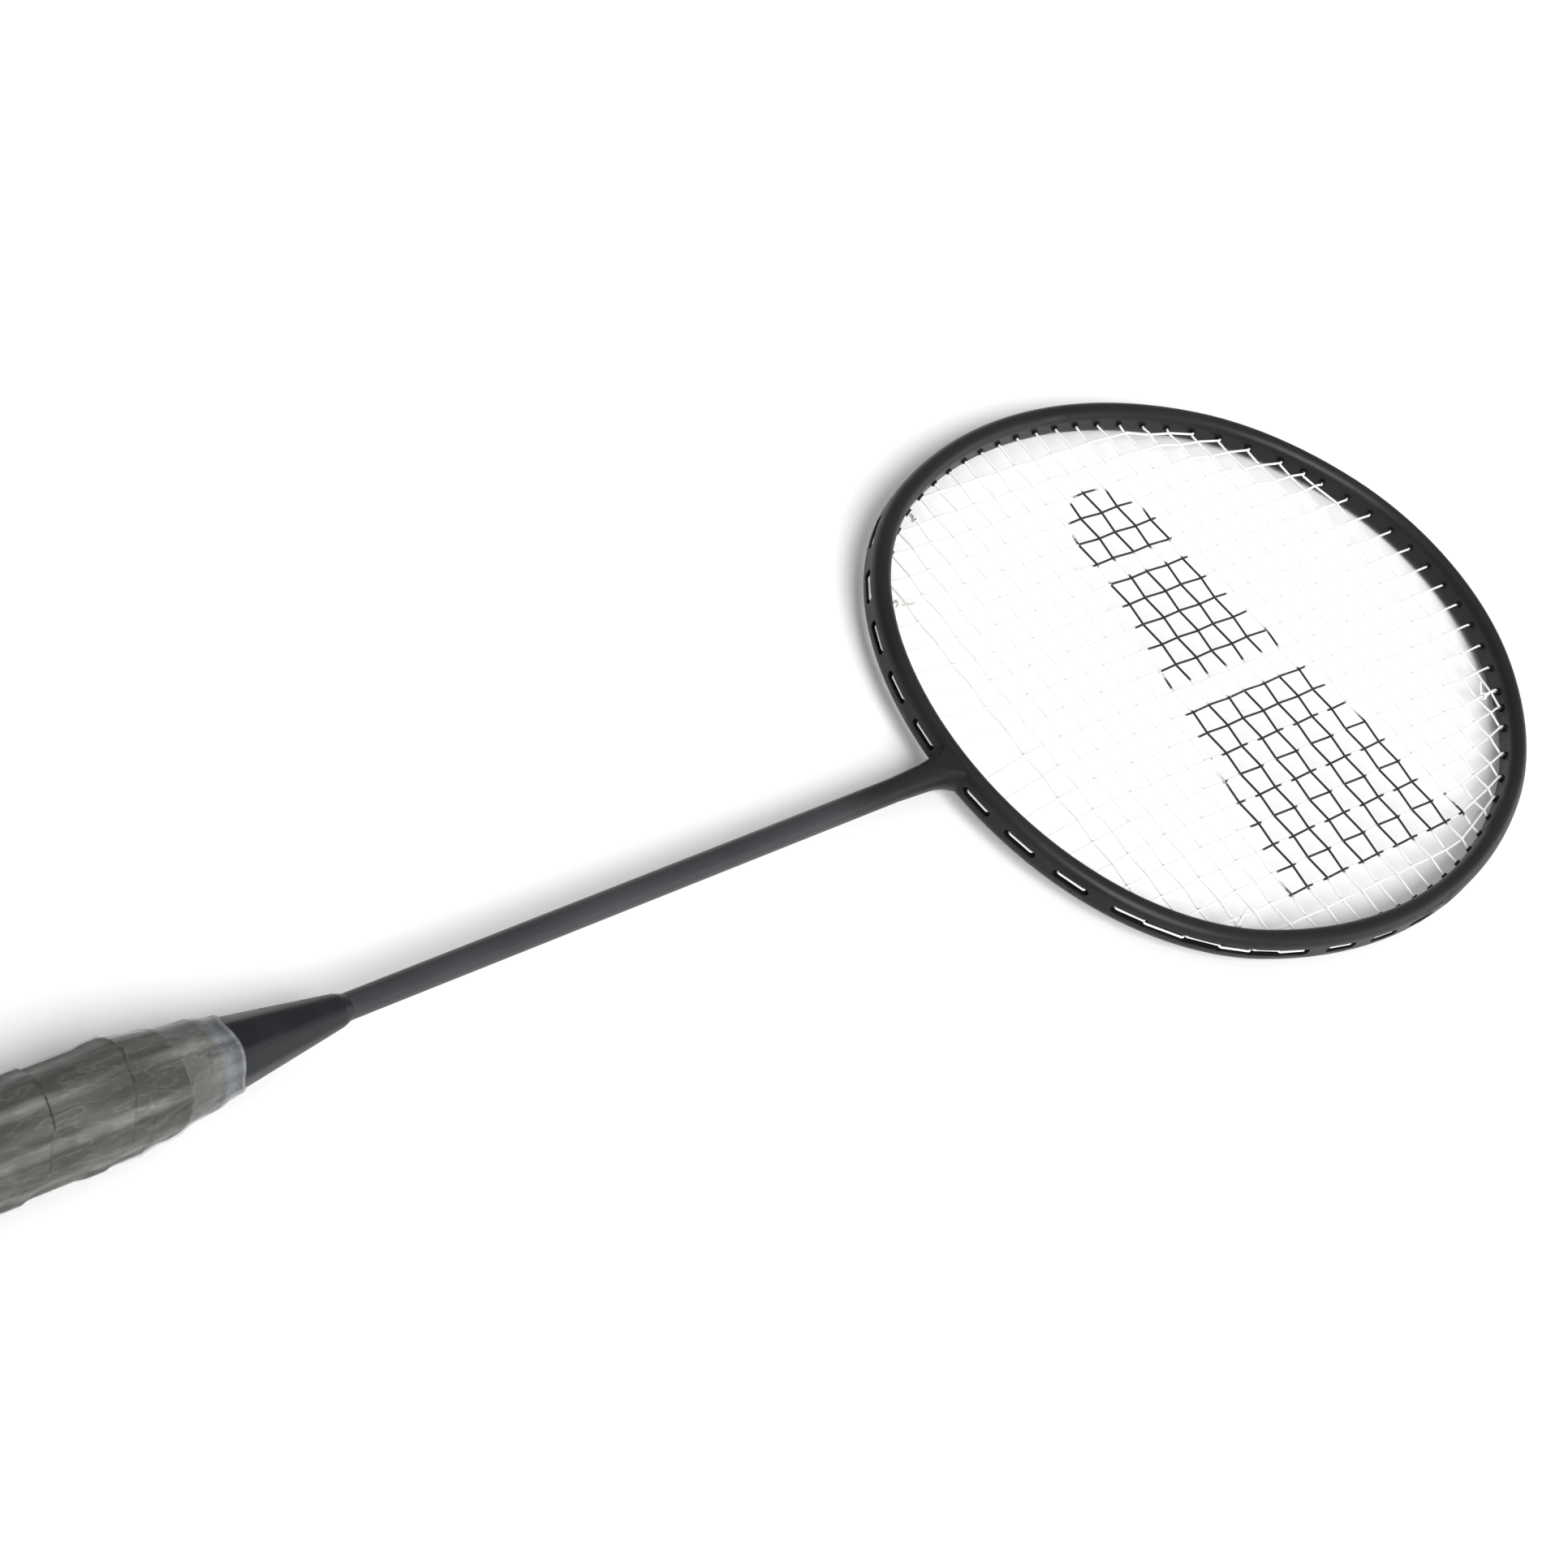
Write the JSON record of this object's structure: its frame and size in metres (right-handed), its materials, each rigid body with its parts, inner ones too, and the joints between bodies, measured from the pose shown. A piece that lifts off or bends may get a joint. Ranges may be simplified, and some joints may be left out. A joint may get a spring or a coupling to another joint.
{
  "type": "badminton racket",
  "caption": "Badminton racket with an oval strung head, slim round shaft, tapered cone and film-wrapped octagonal grip.",
  "frame": {"origin": "centre of the flat butt face, on the axis of the handle and shaft", "axes": "+Y from the butt to the tip of the head, +Z square to the string bed, +X to the right"},
  "size_m": [0.2, 0.675, 0.0316],
  "materials": {
    "frame_coating": "satin charcoal coating over carbon-fibre composite",
    "shaft_coating": "satin charcoal coating over carbon-fibre composite, with a soft sheen",
    "cone_plastic": "satin black moulded plastic",
    "grommet_plastic": "black nylon",
    "string_white": "glossy white multifilament nylon",
    "insert_alloy": "plain cast alloy",
    "handle_wood": "plain sanded hardwood",
    "cap_plastic": "satin black moulded plastic",
    "tack_steel": "zinc-plated steel",
    "grip_polyurethane": "olive-grey embossed polyurethane wrap",
    "tape_vinyl": "grey vinyl tape",
    "film_clear": "thin clear plastic film, slightly wrinkled",
    "band_clear": "milky clear adhesive tape"
  },
  "bodies": {
    "root": {"head_frame": "frame_coating", "throat_joint_cover": "frame_coating", "throat_joint_insert": "insert_alloy", "shaft": "shaft_coating", "cone_cap": "cone_plastic", "handle_core": "handle_wood", "butt_cap": "cap_plastic", "butt_cap_tacks": "tack_steel", "grip_staple": "tack_steel", "grip_tape": "grip_polyurethane", "finishing_tape": "tape_vinyl", "grip_film": "film_clear", "film_end_band": "band_clear", "main_string": "string_white", "cross_string": "string_white", "string_knots": "string_white", "throat_grommets": "grommet_plastic", "tip_grommets": "grommet_plastic", "left_lower_shoulder_grommets": "grommet_plastic", "left_side_grommets": "grommet_plastic", "left_upper_shoulder_grommets": "grommet_plastic", "right_lower_shoulder_grommets": "grommet_plastic", "right_side_grommets": "grommet_plastic", "right_upper_shoulder_grommets": "grommet_plastic"}
  },
  "joints": []
}
